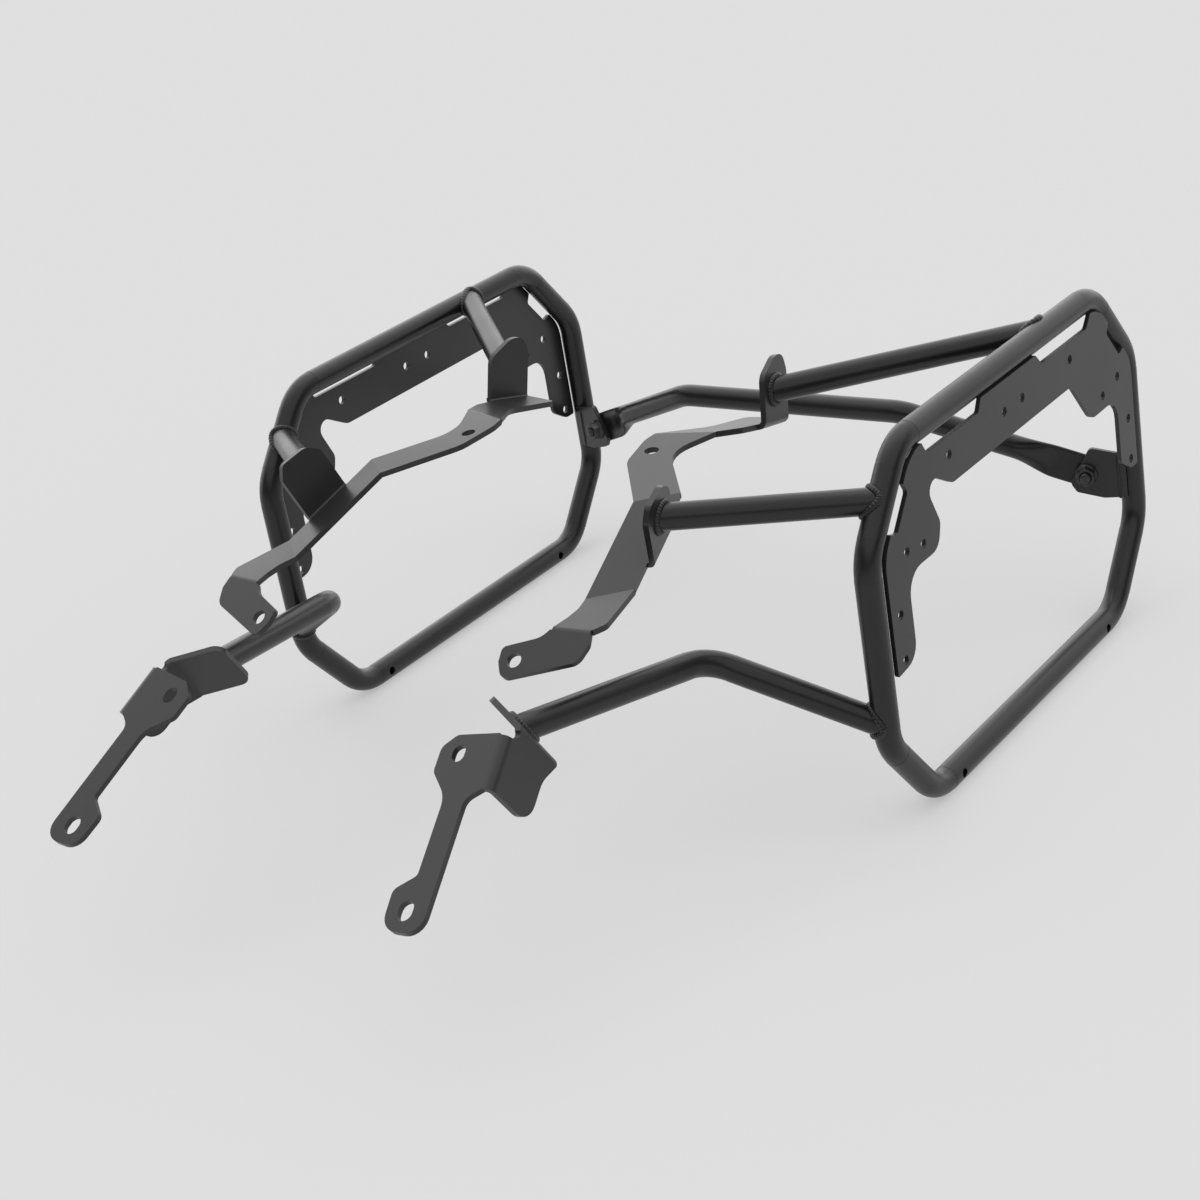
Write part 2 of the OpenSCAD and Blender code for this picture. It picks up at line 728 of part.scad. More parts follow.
// Half of the cross brace: straight middle, bend, outer stretch and flattened end
module half_brace() {
    start = [-lap, brace_mid_y, brace_mid_z];
    taper = brace_bolt - brace_run * (flat_run + flat_taper);
    difference() {
        bent_bar(start, brace_knee, taper, tube_r, tube_r - tube_seam);
        bent_bar(
            start - [tube_d, 0, 0], brace_knee, taper - brace_run * tube_lap,
            bore_r, bore_r + tube_seam);
    }
    hull() {
        place(taper - brace_run * tube_lap, brace_ey, tab_n)
            cylinder(r = tube_r - tube_seam, h = lap, $fn = 32);
        place(tab_o - tab_n * flat_t - brace_run * flat_run, brace_run, brace_ey)
            translate([lap, seam - flat_w / 2, seam])
                cube([lap, flat_w - 2 * seam, flat_t - 2 * seam]);
    }
    place(tab_o - tab_n * flat_t, brace_run, brace_ey)
        linear_extrude(flat_t)
            difference() {
                polygon(rounded([
                    [-flat_run, -flat_w / 2, 0], [flat_reach, -flat_w / 2, 6],
                    [flat_reach, flat_w / 2, 6], [-flat_run, flat_w / 2, 0]
                ]));
                circle(d = bolt_d + 2 * bolt_fit);
            }
}

// Tube that ties the two loops together behind
module cross_brace() {
    color(powder) {
        half_brace();
        mirror([1, 0, 0])
            half_brace();
    }
}

module rear_standoff_loop_weld() {
    loop_weld(rear_standoff_start, rear_standoff_end, 0);
}

module rear_standoff_tab_weld() {
    face_weld(rear_standoff_start, rear_standoff_end, rear_tab[3]);
}

module front_standoff_loop_weld() {
    loop_weld(front_standoff_start, front_standoff_end, 7);
}

module front_standoff_tab_weld() {
    face_weld(front_standoff_start, front_standoff_end, front_tab[3]);
}

module lower_tube_loop_weld() {
    loop_weld(lower_tube_bend, lower_tube_end, 6);
}

module lower_tube_bracket_weld() {
    face_weld(lower_tube_start, lower_tube_bend, flange_n);
}

left() loop_tube();  // left_loop_tube
right() loop_tube();  // right_loop_tube
left() adapter_plate();  // left_adapter_plate
right() adapter_plate();  // right_adapter_plate
left() rear_standoff();  // left_rear_standoff
right() rear_standoff();  // right_rear_standoff
left() front_standoff();  // left_front_standoff
right() front_standoff();  // right_front_standoff
left() lower_tube();  // left_lower_tube
right() lower_tube();  // right_lower_tube
left() strap_bracket();  // left_strap_bracket
right() strap_bracket();  // right_strap_bracket
left() footpeg_bracket();  // left_footpeg_bracket
right() footpeg_bracket();  // right_footpeg_bracket
left() brace_tab();  // left_brace_tab
right() brace_tab();  // right_brace_tab
left() brace_bolt();  // left_brace_bolt
right() brace_bolt();  // right_brace_bolt
left() brace_nut();  // left_brace_nut
right() brace_nut();  // right_brace_nut
left() cross_brace();
left() rear_standoff_loop_weld();  // left_rear_standoff_loop_weld
right() rear_standoff_loop_weld();  // right_rear_standoff_loop_weld
left() rear_standoff_tab_weld();  // left_rear_standoff_tab_weld
right() rear_standoff_tab_weld();  // right_rear_standoff_tab_weld
left() front_standoff_loop_weld();  // left_front_standoff_loop_weld
right() front_standoff_loop_weld();  // right_front_standoff_loop_weld
left() front_standoff_tab_weld();  // left_front_standoff_tab_weld
right() front_standoff_tab_weld();  // right_front_standoff_tab_weld
left() lower_tube_loop_weld();  // left_lower_tube_loop_weld
right() lower_tube_loop_weld();  // right_lower_tube_loop_weld
left() lower_tube_bracket_weld();  // left_lower_tube_bracket_weld
right() lower_tube_bracket_weld();  // right_lower_tube_bracket_weld
left() brace_tab_weld();  // left_brace_tab_weld
right() brace_tab_weld();  // right_brace_tab_weld
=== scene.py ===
import math

import bmesh
import bpy
import numpy as np
from mathutils import Matrix, Vector


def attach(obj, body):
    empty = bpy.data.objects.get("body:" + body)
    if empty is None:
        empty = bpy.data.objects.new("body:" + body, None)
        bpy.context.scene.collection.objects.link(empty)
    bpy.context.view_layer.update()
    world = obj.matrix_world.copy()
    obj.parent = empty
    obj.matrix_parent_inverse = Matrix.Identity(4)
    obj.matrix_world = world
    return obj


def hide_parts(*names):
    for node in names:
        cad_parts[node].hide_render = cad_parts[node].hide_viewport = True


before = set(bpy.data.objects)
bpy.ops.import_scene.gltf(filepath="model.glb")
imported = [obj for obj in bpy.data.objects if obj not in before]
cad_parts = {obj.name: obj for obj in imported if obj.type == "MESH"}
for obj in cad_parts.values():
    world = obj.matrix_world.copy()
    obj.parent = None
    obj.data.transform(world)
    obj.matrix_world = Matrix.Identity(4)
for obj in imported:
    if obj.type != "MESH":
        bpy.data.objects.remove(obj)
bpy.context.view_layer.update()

MM = 0.001

# Points below are in millimetres from the top front corner of the left loop's
# centre line, as the frame was drawn; DATUM takes them to the floor and the middle
DATUM = np.array([0.0, 26.47, 260.0])
TUBE_R = 9.0
LOOP_X = 258.5

# Each side of the frame: its sign along x, and the first word of its nodes' names
SIDES = ((1, "left_"), (-1, "right_"))

# Sheets: copies of the CAD meshes with merged points, joined flats and rounded edges
SHEETS = ("adapter_plate", "strap_bracket", "footpeg_bracket", "brace_tab")
BARE_TUBES = ("loop_tube", "rear_standoff", "front_standoff", "lower_tube")
SHEET_EDGE = 0.45
EDGE_FROM = math.radians(40.0)
MERGE_WITHIN = 0.05
FLAT_WITHIN = math.radians(1.0)

# Adapter plate: how far its outer face moves outboard and its windows draw back, the edge's
# distance from the tube's centre line where it lies on the tube and at a window, the length
# over which two lines blend at a corner, the bands beside the tube and at the feet in which
# points are moved, and the height that the feet are below
PLATE_OUTER_OUT = 0.7
WINDOW_BACK = 1.1
PLATE_LAND = 7.0
PLATE_WINDOW = 14.0
LINE_BLEND = 3.0
PLATE_BAND = 14.6
PLATE_FOOT_BAND = 8.5
PLATE_FOOT_Z = -136.0

# Centre lines of the loop's straight tubes beside the plate: a point as (y, z), the way in,
# and how far the edge that lies on the tube draws back
LOOP_LINES = (
    ((-50.0, -60.0), (1.0, 0.0), 1.0),
    ((0.0, 0.0), (60.0, -50.0), 0.3),
    ((0.0, 0.0), (0.0, -1.0), -0.4),
    ((288.0, 0.0), (-60.0, -50.0), 0.3),
    ((338.0, -60.0), (-1.0, 0.0), 1.0),
)

# Faces of the strap bracket that carry a tab: height at the origin, slopes along x and y
TAIL_FACE = (-14.15, 0.063, -0.239)
RAMP_FACE = (31.5, -0.237, 0.322)
SEAT_FACE = (-9.2, -0.044, 0.0835)
SHELF_FACE = (-42.2, -0.0065, 0.048)

# Tabs: the edge that each is folded from, its outboard face, and where a tube meets it
REAR_TAB_EDGE = ((118.0, 58.0), (112.5, 96.0))
RAMP_FOOT_X = 148.0
RAMP_HEAD_X = 133.5
FRONT_TAB_SHARE = 0.26
TAB_FACE_OUT = 5.5
REAR_TAB_AT = (19.5, 21.5)
FRONT_TAB_AT = (20.5, 22.0)

# Ends of the tubes on the loop's centre line, the lower tube's bend, and the axes of the
# tubes that the ends meet
REAR_STANDOFF_END = np.array([LOOP_X, 214.5, 0.0])
FRONT_STANDOFF_END = np.array([LOOP_X, -24.5, -29.4])
LOWER_BEND = np.array([163.2, -102.5, -117.0])
LOWER_END = np.array([LOOP_X, -50.0, -176.0])
TOP_AXIS = np.array([0.0, 1.0, 0.0])
CUT_AXIS = np.array([0.0, 50.0, 60.0])
FRONT_AXIS = np.array([0.0, 0.0, 1.0])

# Footpeg bracket: upper slot, outboard direction, arm direction, and its tube flange
PEG_POINT = np.array([121.8, -301.1, -89.3])
PEG_OUT = np.array([0.982, 0.117, 0.150])
PEG_UP = np.array([-0.178, 0.8435, 0.507])
FLANGE_CORNER = (23.1, 32.0)
FLANGE_TURN = math.radians(51.8)
FLANGE_MIDDLE = (20.3, -30.25)

# Weld beads: radius, how far the centre lies outwards of the seam, a ripple's least size and
# swell as shares of the radius, its lean, points round and along, and the number of points
# in the mean that blunts a seam on a loop
BEAD_R = 2.5
BEAD_OUT = 0.35
BEAD_LOW = 0.88
BEAD_SWELL = 0.14
BEAD_LEAN = 0.62
BEAD_ROUND = 20
RING = 240
SEAM_BLUNT = 34

# Bead round a brace tab: radius, how far it lies outwards, ripples, the power that squares
# its corners, and how far past the tab's faces it runs
TAB_BEAD_R = 1.25
TAB_BEAD_OUT = -0.2
TAB_BEAD_RIPPLES = 60
TAB_BEAD_CORNER = 0.35
TAB_BEAD_LAP = 0.1

# Cross brace: end of its straight middle, bolt point, bend, the tab that carries it, its
# flattened end, and the points round and rows along it
BRACE_KNEE = np.array([101.0, 276.5, -96.0])
BRACE_BOLT = np.array([230.0, 320.3, -152.8])
BRACE_BEND_R = 36.0
REAR_TUBE = np.array([LOOP_X, 338.0, -152.8])
TAB_SEAT = 6.0
SHEET_T = 4.0
FLAT_T = 4.0
FLAT_W = 26.0
FLAT_REACH = 12.0
FLAT_RUN = 23.0
FLAT_TAPER = 34.0
FLAT_DROP = 4.0
FLAT_CORNER = 6.0
BRACE_ROUND = 64
MIDDLE_ROWS = 8
BEND_ROWS = 12
STRAIGHT_ROWS = 6
STRAIGHT_FROM = 6.0
TAPER_ROWS = 19
CORNER_ROWS = 8
TAB_HIGH = 14.5
TAB_LOW = -20.0

# Bolt and nut, M8: sizes, then profiles as (height, radius), where a radius of HEXAGON
# stands for the flats, and heights are from the seat, up on the nut and down on the head
BOLT_R = 4.0
THREAD_PITCH = 1.25
THREAD_DEPTH = 0.45
THREAD_UNDER = 0.02
THREAD_RUN_IN = 1.0
THREAD_ROWS = 34
TIP_CHAMFER = 0.75
TIP_UNDER = 0.8
TIP_EDGE = 0.15
NUT_AF = 13.0
NUT_H = 8.0
HEAD_H = 5.3
FLANGE_T = 1.4
THREAD_OUT = 2.5
CROWN_R = 6.35
LATHE_ROUND = 72
HEXAGON = 99.0
NUT_PROFILE = (
    (0.0, 8.25), (0.35, 8.5), (0.9, 8.4), (1.4, 7.9), (1.75, 7.55), (2.0, HEXAGON),
    (3.0, HEXAGON), (6.4, HEXAGON), (6.8, HEXAGON), (7.2, HEXAGON), (7.6, HEXAGON),
    (7.9, HEXAGON), (8.0, 6.3), (8.0, 4.7), (7.7, 4.35), (7.3, 4.05), (0.4, 4.05), (0.0, 4.05),
)
HEAD_PROFILE = (
    (-6.7, 0.0), (-6.7, 5.6), (-6.6, 6.3), (-6.3, HEXAGON), (-5.8, HEXAGON), (-2.6, HEXAGON),
    (-1.75, 7.55), (-1.4, 7.9), (-0.9, 8.4), (-0.35, 8.5), (0.0, 8.25), (0.0, 3.95),
)

# Powder coat: how fine its drift, peel and specks are, per metre, the drift's range and what
# it does to the tone and the gloss, the specks' share of the relief, and its height in metres
DRIFT_SIZE = 14.0
PEEL_SIZE = 900.0
SPECK_SIZE = 2600.0
DRIFT = (0.3, 0.7)
TONE_DRIFT = (0.9, 1.1)
GLOSS_DRIFT = (-0.04, 0.04)
SPECK_SHARE = 0.35
PEEL_HEIGHT = 0.00012

# Camera: place in metres, axes, and lens and sensor in millimetres
CAMERA_AT = (0.974869, -1.157105, 0.784093)
CAMERA_RIGHT = (0.80403838, 0.57314095, -0.15821423)
CAMERA_UP = (-0.1166299, 0.41295646, 0.90325214)
CAMERA_BACK = (0.58302638, -0.70779688, 0.39887821)
CAMERA_LENS = 69.78
CAMERA_SENSOR = 36.0

# Floor and background: reach in metres, tones to the camera, and tone to the light
FLOOR_REACH = 12.0
FLOOR_ROUGH = 0.9
BLACK = (0.0, 0.0, 0.0, 1.0)
PALE = (0.74, 0.74, 0.74, 1.0)
FLOOR_SEEN = (0.28, 0.28, 0.28, 1.0)
FLOOR_GLOW = (0.409, 0.409, 0.409, 1.0)
FLOOR_BOUNCE = (0.3, 0.3, 0.3, 1.0)

# Light: walls and ceiling, the room in reflections from the camera's side to BEHIND, the
# ranges of height and direction in which these rise, and the lamp
WALL_LIGHT = 0.15
CEILING_LIGHT = 1.0
FRONT_SHEEN = 0.1
BACK_SHEEN = 1.75
CEILING_RISE = (0.0, 0.9)
SHEEN_RISE = (-0.5, 0.9)
BEHIND = (-0.63, 0.77, 0.0)
LAMP_FROM = (0.35, -0.3, 1.0)
LAMP_SPREAD = math.radians(100.0)
LAMP_STRENGTH = 1.35


def unit(v):
    """The vector divided by its length."""
    return v / np.linalg.norm(v)


def on_face(face, x, y):
    """Point of a face over (x, y): height at the origin plus each slope times its coordinate."""
    return np.array([x, y, face[0] + face[1] * x + face[2] * y])


def normal_of(face):
    """Upward normal of a face: one up, less each slope along its axis, made unit long."""
    return unit(np.array([-face[1], -face[2], 1.0]))


def meet(p, q, x):
    """Point at x on the line where two faces meet: the y at which their heights agree."""
    return on_face(p, x, (q[0] - p[0] + (q[1] - p[1]) * x) / (p[2] - q[2]))


def tab_point(face, start, end, at):
    """Point on a tab's outboard face, and that face's normal.

    It lies at[0] along the fold, at[1] up the face's normal, and TAB_FACE_OUT along the
    outboard direction, which is fold x normal."""
    run = unit(end - start)
    up = normal_of(face)
    out = np.cross(run, up)
    return start + run * at[0] + up * at[1] + out * TAB_FACE_OUT, out


def shown(name, mesh, material, replaced):
    """Smooth object for a mesh, in one material, that stands for a CAD node."""
    mesh.shade_smooth()
    mesh.materials.clear()
    mesh.materials.append(material)
    piece = bpy.data.objects.new(name, mesh)
    bpy.context.collection.objects.link(piece)
    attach(piece, "root")
    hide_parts(replaced)
    return piece


def grid_piece(name, points, material, replaced, close_rows, side=1):
    """Closed mesh over a grid of points, rows x columns.

    Face (i, j) joins points (i, j), (i, j + 1), (i + 1, j + 1) and (i + 1, j); the columns close
    on themselves, and the rows close too or each end in a pole, whose points are merged."""
    rows, cols = points.shape[:2]
    at = (points.reshape(-1, 3) + DATUM) * MM
    at[:, 0] *= side
    i = np.arange(rows if close_rows else rows - 1)[:, None]
    j = np.arange(cols)[None, :]
    a = i * cols + j
    b = i * cols + (j + 1) % cols
    c = (i + 1) % rows * cols + (j + 1) % cols
    d = (i + 1) % rows * cols + j
    faces = np.stack([a, b, c, d], axis=-1).reshape(-1, 4)
    mesh = bpy.data.meshes.new(name)
    mesh.from_pydata(at.tolist(), [], faces.tolist())
    work = bmesh.new()
    work.from_mesh(mesh)
    bmesh.ops.remove_doubles(work, verts=work.verts, dist=1e-7)
    bmesh.ops.recalc_face_normals(work, faces=work.faces)
    work.to_mesh(mesh)
    work.free()
    shown(name, mesh, material, replaced)


def ring_frames(path):
    """Unit tangents along a closed path, and two directions square to them.

    A tangent is the chord between a point's neighbours. The second direction is the way from
    the path's middle with its share along the tangent taken out, and the third is their
    cross product."""
    tangent = np.roll(path, -1, axis=0) - np.roll(path, 1, axis=0)
    tangent /= np.linalg.norm(tangent, axis=1, keepdims=True)
    outward = path - path.mean(axis=0)
    outward -= (outward * tangent).sum(axis=1, keepdims=True) * tangent
    outward /= np.linalg.norm(outward, axis=1, keepdims=True)
    return tangent, outward, np.cross(tangent, outward)


def rounded_path(path, width):
    """Closed path with each point the mean of the width points round it, which blunts peaks."""
    half = width // 2
    wrapped = np.concatenate([path[-width:], path, path[:width]])
    sums = np.cumsum(wrapped, axis=0)
    after, before = sums[width + half:][:len(path)], sums[width - half:][:len(path)]
    return (after - before) / (2 * half)


def bead(path, radius, ripples):
    """Weld bead: a circle carried round the seam, its radius swelling once per ripple.

    size = radius * (BEAD_LOW + BEAD_SWELL * sin(pi * phase ** BEAD_LEAN)), where phase runs
    from 0 to 1 over a ripple."""
    n = len(path)
    _, out, side = ring_frames(path)
    phase = np.arange(n) * ripples / n % 1.0
    scale = np.sin(math.pi * phase ** BEAD_LEAN)
    size = radius * (BEAD_LOW + BEAD_SWELL * scale)
    angle = np.linspace(0.0, 2.0 * math.pi, BEAD_ROUND, endpoint=False)[None, :, None]
    return path[:, None, :] + size[:, None, None] * (
        np.cos(angle) * out[:, None, :] + np.sin(angle) * side[:, None, :]
    )


def round_tube(direction, count):
    """A tube's direction, and points round it: TUBE_R * (cos(angle) e + sin(angle) f),
    where e and f are square to it and to each other."""
    d = unit(direction)
    e = unit(np.cross(np.array([0.0, 0.0, 1.0]), d))
    f = np.cross(d, e)
    angle = np.linspace(0.0, 2.0 * math.pi, count, endpoint=False)[:, None]
    return d, TUBE_R * (np.cos(angle) * e + np.sin(angle) * f)


def seam_on_tube(end, start, axis, count):
    """Where a tube from start meets, at end, a tube of the same size along axis.

    t d + q has to lie TUBE_R from the axis, which is a quadratic in t for each q."""
    d, q = round_tube(start - end, count)
    axis = unit(axis)
    dp = d - axis * (d @ axis)
    qp = q - np.outer(q @ axis, axis)
    a = dp @ dp
    b = qp @ dp
    c = (qp * qp).sum(axis=1) - TUBE_R ** 2
    t = (-b + np.sqrt(np.maximum(b * b - a * c, 0.0))) / a
    return end + t[:, None] * d + q


def seam_on_face(start, end, normal, count):
    """Where a tube from start towards end leaves the plane through start.

    t d + q has no share along the plane's normal, which gives t for each q."""
    d, q = round_tube(end - start, count)
    t = -(q @ normal) / (d @ normal)
    return start + t[:, None] * d + q


def rippled_weld(name, path, ripples, outwards, radius):
    """Bead round a seam on both sides of the frame, its centre outwards of the seam."""
    _, out, _ = ring_frames(path)
    points = bead(path + out * outwards, radius, ripples)
    for side, prefix in SIDES:
        node = prefix + name
        grid_piece("bead_" + node, points, SHADED_POWDER, node, close_rows=True, side=side)


def stadium(count):
    """Section of the flattened tube: two flats joined by half circles, by distance round it.

    With r = FLAT_T / 2 and h = FLAT_W / 2 - r, a point at distance p is on the first quarter
    circle, the upper flat, the far half circle, the lower flat or the last quarter circle."""
    r = FLAT_T / 2
    h = FLAT_W / 2 - r
    q = math.pi * r / 2
    p = np.arange(count) / count * (4 * h + 4 * q)
    parts = [p < q, p < q + 2 * h, p < 3 * q + 2 * h, p < 3 * q + 4 * h, p >= 3 * q + 4 * h]
    far = math.pi / 2 + (p - q - 2 * h) / r
    last = 1.5 * math.pi + (p - 3 * q - 4 * h) / r
    wide = [
        h + r * np.cos(p / r), h - (p - q), -h + r * np.cos(far),
        p - 3 * q - 3 * h, h + r * np.cos(last),
    ]
    thin = [
        r * np.sin(p / r), np.full(count, r), r * np.sin(far),
        np.full(count, -r), r * np.sin(last),
    ]
    return np.select(parts, wide), np.select(parts, thin)


def bolt_frame():
    """Bolt point on the tab's rear face, the bolt's direction, and two directions square to it.

    The bolt stands square to the upright plane through the knee and the bolt point, TAB_SEAT
    in front of the rear tube's centre line."""
    across = unit((BRACE_BOLT - BRACE_KNEE) * [1.0, 1.0, 0.0])
    up = np.array([0.0, 0.0, 1.0])
    front = np.cross(across, up)
    return BRACE_BOLT + front * ((REAR_TUBE - BRACE_BOLT) @ front + TAB_SEAT), front, across, up


def brace_points(count):
    """Cross brace: circles along its bent centre line that flatten towards the bolted ends.

    The section is circle + m * (stadium - circle), with m = 3 t^2 - 2 t^3 over the taper, where
    its centre also drops to the bolt; past it the half width follows the rounded corners, and
    the end row is a pole."""
    tab, front, _, up = bolt_frame()
    outboard = np.array([1.0, 0.0, 0.0])
    aim = BRACE_BOLT + up * FLAT_DROP
    run = unit(aim - BRACE_KNEE)
    turn = math.acos(run[0])
    take = BRACE_BEND_R * math.tan(turn / 2)
    inward = unit(run - outboard * run[0])
    start = BRACE_KNEE - outboard * take
    a = np.linspace(0.0, turn, BEND_ROWS)[:, None]
    bend = start + BRACE_BEND_R * (np.sin(a) * outboard + (1.0 - np.cos(a)) * inward)
    centre = BRACE_KNEE * [0, 1, 1]
    middle = np.linspace(0.0, 1.0, MIDDLE_ROWS)[:-1, None] * (start - centre) + centre
    reach = float((aim - bend[-1]) @ run)
    taper_from = reach - FLAT_RUN - FLAT_TAPER
    corner = FLAT_CORNER
    swing = np.linspace(0.0, math.pi / 2, CORNER_ROWS)
    s = np.concatenate([
        np.linspace(STRAIGHT_FROM, taper_from, STRAIGHT_ROWS),
        reach - FLAT_RUN - FLAT_TAPER * (1.0 - np.linspace(0.0, 1.0, TAPER_ROWS)[1:]),
        [reach],
        reach + FLAT_REACH - corner + corner * np.sin(swing),
        [reach + FLAT_REACH],
    ])
    m = np.clip((s - taper_from) / FLAT_TAPER, 0.0, 1.0)
    m = m * m * (3.0 - 2.0 * m)
    outer = bend[-1] + s[:, None] * run
    offset = (tab - front * FLAT_T / 2 - BRACE_BOLT) @ front
    outer = outer + m[:, None] * (offset * front + BRACE_BOLT - aim)
    path = np.concatenate([middle, bend, outer])
    m = np.concatenate([np.zeros(len(middle) + len(bend)), m])[:, None]
    squeeze = np.ones(len(path))
    squeeze[-CORNER_ROWS - 1:-1] = (FLAT_W / 2 - corner + corner * np.cos(swing)) / (FLAT_W / 2)
    close = np.ones(len(path))
    close[-1] = 0.0
    tangent = np.concatenate([
        np.tile(outboard, (len(middle), 1)),
        np.cos(a) * outboard + np.sin(a) * inward,
        np.tile(run, (len(s), 1)),
    ])
    thin = front - tangent * (tangent @ front)[:, None]
    thin /= np.linalg.norm(thin, axis=1, keepdims=True)
    wide = np.cross(thin, tangent)
    angle = np.arange(count) / count * 2.0 * math.pi
    flat_u, flat_v = stadium(count)
    u = ((1.0 - m) * TUBE_R * np.cos(angle) + m * flat_u) * (squeeze * close)[:, None]
    v = ((1.0 - m) * TUBE_R * np.sin(angle) + m * flat_v) * close[:, None]
    half = path[:, None, :] + u[:, :, None] * wide[:, None, :] + v[:, :, None] * thin[:, None, :]
    return np.concatenate([half[:0:-1] * [-1, 1, 1], half])


def turned(origin, axis, u, v, along, radius):
    """Grid of points at heights along an axis: radius * (cos(angle) u + sin(angle) v)."""
    angle = np.arange(radius.shape[1]) / radius.shape[1] * 2.0 * math.pi
    ring = np.cos(angle)[:, None] * u + np.sin(angle)[:, None] * v
    return origin + along[:, None, None] * axis + radius[:, :, None] * ring[None, :, :]


def hexagon_rows(profile, crown_z, count):
    """Heights of a profile, and its radius at each angle.

    On the flats, radius = min(hexagon, cone). The hexagon's is half of NUT_AF over the cosine
    of the angle from the nearest flat's middle. The cone cuts the corners at 30 degrees: CROWN_R
    at the crown, and sqrt(3) more for each unit away from it."""
    z, r = np.array(profile).T
    angle = np.arange(count) / count * 2.0 * math.pi
    flats = NUT_AF / 2 / np.cos(np.mod(angle + math.pi / 6, math.pi / 3) - math.pi / 6)
    cone = CROWN_R + np.abs(crown_z - z) * math.sqrt(3.0)
    cut = np.minimum(flats[None, :], cone[:, None])
    return z, np.where(r[:, None] == HEXAGON, cut, r[:, None])


def bolt_points(count):
    """Flange bolt: domed hexagon head, flange, shank and a threaded end that shows past the nut.

    thread radius = BOLT_R - THREAD_UNDER - THREAD_DEPTH * |2 * frac(z / pitch - angle / 2 pi) - 1|,
    and no more than a cone of 45 degrees at the tip."""
    z, lathe = hexagon_rows(HEAD_PROFILE, -(FLANGE_T + HEAD_H), count)
    tip = FLAT_T + SHEET_T + NUT_H + THREAD_OUT
    zt = np.linspace(tip - THREAD_OUT - THREAD_RUN_IN, tip - TIP_EDGE, THREAD_ROWS)
    angle = np.arange(count) / count
    phase = np.mod(zt[:, None] / THREAD_PITCH - angle[None, :], 1.0)
    thread = BOLT_R - THREAD_UNDER - THREAD_DEPTH * np.abs(2.0 * phase - 1.0)
    thread = np.minimum(thread, BOLT_R - TIP_CHAMFER + (tip - zt)[:, None])
    ends = np.zeros((2, count))
    ends[0] = BOLT_R - TIP_UNDER
    return np.concatenate([z, zt, [tip, tip]]), np.concatenate([lathe, thread, ends])


def flush_plate(mesh):
    """Adapter plate with its outer face flush with the tube and its edge drawn back from it.

    The outer face moves PLATE_OUTER_OUT outboard. A point inside the band moves along the
    mean of the lines' inward normals, each weighted by exp(-(distance to its line - d) /
    LINE_BLEND), where d is the least distance. How far is the same mean of the lines' third
    values at d = PLATE_LAND, and rises evenly to WINDOW_BACK at d = PLATE_WINDOW."""
    at = np.empty(len(mesh.vertices) * 3, dtype=np.float32)
    mesh.vertices.foreach_get("co", at)
    at = at.reshape(-1, 3) / MM - DATUM
    x = at[:, 0]
    outer = np.abs(x) > (np.abs(x).min() + np.abs(x).max()) / 2
    at[:, 0] = x + np.sign(x) * np.where(outer, PLATE_OUTER_OUT, 0.0)
    point = np.array([line[0] for line in LOOP_LINES])
    way = np.array([unit(np.array(line[1])) for line in LOOP_LINES])
    away = at[:, 1:] @ way.T - (point * way).sum(axis=1)
    d = away.min(axis=1)
    weight = np.exp(-(away - d[:, None]) / LINE_BLEND)
    weight /= weight.sum(axis=1, keepdims=True)
    on_tube = weight @ np.array([line[2] for line in LOOP_LINES])
    rise = np.clip((d - PLATE_LAND) / (PLATE_WINDOW - PLATE_LAND), 0.0, 1.0)
    far = on_tube + (WINDOW_BACK - on_tube) * rise
    back = weight @ way
    back /= np.linalg.norm(back, axis=1, keepdims=True)
    band = np.where(at[:, 2] > PLATE_FOOT_Z, PLATE_BAND, PLATE_FOOT_BAND)
    at[:, 1:] += np.where(d < band, far, 0.0)[:, None] * back
    mesh.vertices.foreach_set("co", ((at + DATUM) * MM).ravel().astype(np.float32))


def softened(node, piece_name, material, width, reshape=None):
    """Copy of a CAD sheet part, reshaped where asked.

    Its seams are merged, its flats joined and its edges rounded by width."""
    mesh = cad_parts[node].data.copy()
    if reshape:
        reshape(mesh)
    work = bmesh.new()
    work.from_mesh(mesh)
    bmesh.ops.remove_doubles(work, verts=work.verts, dist=MERGE_WITHIN * MM)
    bmesh.ops.dissolve_degenerate(work, edges=work.edges, dist=MERGE_WITHIN * MM)
    bmesh.ops.dissolve_limit(
        work, angle_limit=FLAT_WITHIN, verts=work.verts, edges=work.edges,
        use_dissolve_boundaries=False,
    )
    bmesh.ops.recalc_face_normals(work, faces=work.faces)
    work.to_mesh(mesh)
    work.free()
    piece = shown(piece_name, mesh, material, node)
    bevel = piece.modifiers.new("rounded edges", "BEVEL")
    bevel.width = width * MM
    bevel.segments = 2
    bevel.limit_method = "ANGLE"
    bevel.angle_limit = EDGE_FROM
    weighted = piece.modifiers.new("flat faces stay flat", "WEIGHTED_NORMAL")
    weighted.mode = "FACE_AREA"
    weighted.weight = 100
    weighted.keep_sharp = True


def link(tree, out_socket, in_socket):
    """Join two sockets of a node tree."""
    tree.links.new(out_socket, in_socket)


def ranged(tree, source, from_range, to_range, interpolation="LINEAR"):
    """A value carried evenly, or along the named curve, from one range to another."""
    node = tree.nodes.new("ShaderNodeMapRange")
    node.interpolation_type = interpolation
    node.inputs["From Min"].default_value, node.inputs["From Max"].default_value = from_range
    node.inputs["To Min"].default_value, node.inputs["To Max"].default_value = to_range
    link(tree, source, node.inputs["Value"])
    return node.outputs["Result"]


def noise(tree, coords, scale, detail):
    """Noise on Object coordinates."""
    node = tree.nodes.new("ShaderNodeTexNoise")
    node.inputs["Scale"].default_value = scale
    node.inputs["Detail"].default_value = detail
    link(tree, coords.outputs["Object"], node.inputs["Vector"])
    return node


